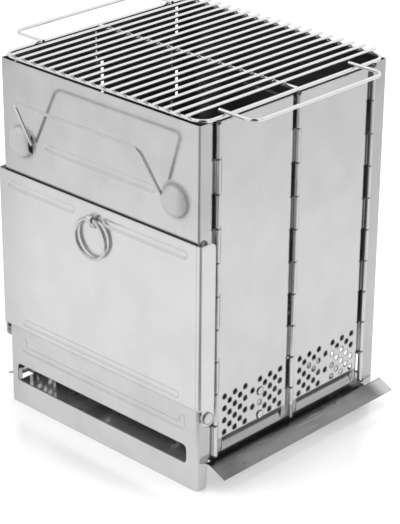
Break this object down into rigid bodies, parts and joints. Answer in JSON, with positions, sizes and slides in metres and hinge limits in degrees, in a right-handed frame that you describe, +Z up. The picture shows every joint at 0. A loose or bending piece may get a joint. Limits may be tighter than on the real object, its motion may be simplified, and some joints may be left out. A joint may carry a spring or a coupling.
{
  "type": "folding charcoal grill",
  "caption": "Folding charcoal grill: sheet-steel box with hinged side panels, drop-down front door, bail handles, wire cooking grate and a tray-like base plate.",
  "frame": {"origin": "on the ground under the middle of the box", "axes": "+Z up, -Y towards the front with the drop-down door, +X to the right side seen from the front's inside looking out"},
  "size_m": [0.275, 0.2566, 0.3061],
  "materials": {
    "pressed_steel": "polished sheet with a soft mirror",
    "polished_steel": "dark mirror-polished sheet",
    "bright_wire": "bright plated wire",
    "rivet_steel": "satin",
    "dark_steel": "dark heat-stained sheet"
  },
  "bodies": {
    "base": {"base_plate": "polished_steel", "charcoal_grate": "dark_steel"},
    "front_pan": {"front_pan": "pressed_steel", "door_rivets": "rivet_steel", "front_pin_right": "rivet_steel", "front_pin_left": "rivet_steel"},
    "front_door": {"front_door": "pressed_steel", "ring_strap": "pressed_steel"},
    "pull_ring": {"pull_ring": "bright_wire"},
    "front_bail": {"front_bail": "bright_wire"},
    "right_front_panel": {"right_front_panel": "pressed_steel", "right_bracket": "pressed_steel", "right_bracket_rivets": "rivet_steel", "middle_pin_right": "rivet_steel"},
    "left_front_panel": {"left_front_panel": "pressed_steel", "left_bracket": "pressed_steel", "left_bracket_rivets": "rivet_steel", "middle_pin_left": "rivet_steel"},
    "right_rear_panel": {"right_rear_panel": "pressed_steel"},
    "left_rear_panel": {"left_rear_panel": "pressed_steel"},
    "rear_pan": {"rear_pan": "pressed_steel", "rear_pin_right": "rivet_steel", "rear_pin_left": "rivet_steel"},
    "rear_bail": {"rear_bail": "bright_wire"},
    "cooking_grate": {"cooking_grate_frame": "bright_wire", "cooking_grate_bars": "bright_wire", "cooking_grate_cross_bar": "bright_wire", "grate_handle_right": "bright_wire", "grate_handle_left": "bright_wire"}
  },
  "joints": [
    {"name": "body_lift", "type": "slide", "parent": "base", "child": "front_pan", "axis": [0, 0, 1], "range_m": [0, 0.215]},
    {"name": "fold", "type": "hinge", "parent": "front_pan", "child": "right_front_panel", "pos_m": [0.1083, -0.0868, 0.15], "axis": [0, 0, 1], "range_deg": [0, 88]},
    {"name": "right_middle_hinge", "type": "hinge", "parent": "right_front_panel", "child": "right_rear_panel", "pos_m": [0.1083, 0, 0.15], "axis": [0, 0, 1], "range_deg": [-176, 0]},
    {"name": "right_rear_hinge", "type": "hinge", "parent": "right_rear_panel", "child": "rear_pan", "pos_m": [0.1083, 0.0868, 0.15], "axis": [0, 0, 1], "range_deg": [0, 88]},
    {"name": "left_front_hinge", "type": "hinge", "parent": "front_pan", "child": "left_front_panel", "pos_m": [-0.1083, -0.0868, 0.15], "axis": [0, 0, 1], "range_deg": [-88, 0]},
    {"name": "left_middle_hinge", "type": "hinge", "parent": "left_front_panel", "child": "left_rear_panel", "pos_m": [-0.1083, 0, 0.15], "axis": [0, 0, 1], "range_deg": [0, 176]},
    {"name": "door_hinge", "type": "hinge", "parent": "front_pan", "child": "front_door", "pos_m": [0, -0.099, 0.0645], "axis": [1, 0, 0], "range_deg": [0, 90]},
    {"name": "ring_hinge", "type": "hinge", "parent": "front_door", "child": "pull_ring", "pos_m": [-0.0025, -0.1105, 0.1971], "axis": [-1, 0, 0], "range_deg": [0, 110]},
    {"name": "front_bail_hinge", "type": "hinge", "parent": "front_pan", "child": "front_bail", "pos_m": [0, -0.10665, 0.2368], "axis": [1, 0, 0], "range_deg": [-26, 0]},
    {"name": "rear_bail_hinge", "type": "hinge", "parent": "rear_pan", "child": "rear_bail", "pos_m": [0, 0.10665, 0.2368], "axis": [-1, 0, 0], "range_deg": [-26, 0]},
    {"name": "grate_lift", "type": "slide", "parent": "front_pan", "child": "cooking_grate", "axis": [0, 0, 1], "range_m": [0, 0.08]}
  ],
  "couplings": [
    {"joint": "fold", "follows": "body_lift", "rad_per_m": 7.1429},
    {"joint": "right_middle_hinge", "follows": "body_lift", "rad_per_m": -14.286},
    {"joint": "right_rear_hinge", "follows": "body_lift", "rad_per_m": 7.1429},
    {"joint": "left_front_hinge", "follows": "body_lift", "rad_per_m": -7.1429},
    {"joint": "left_middle_hinge", "follows": "body_lift", "rad_per_m": 14.286}
  ]
}
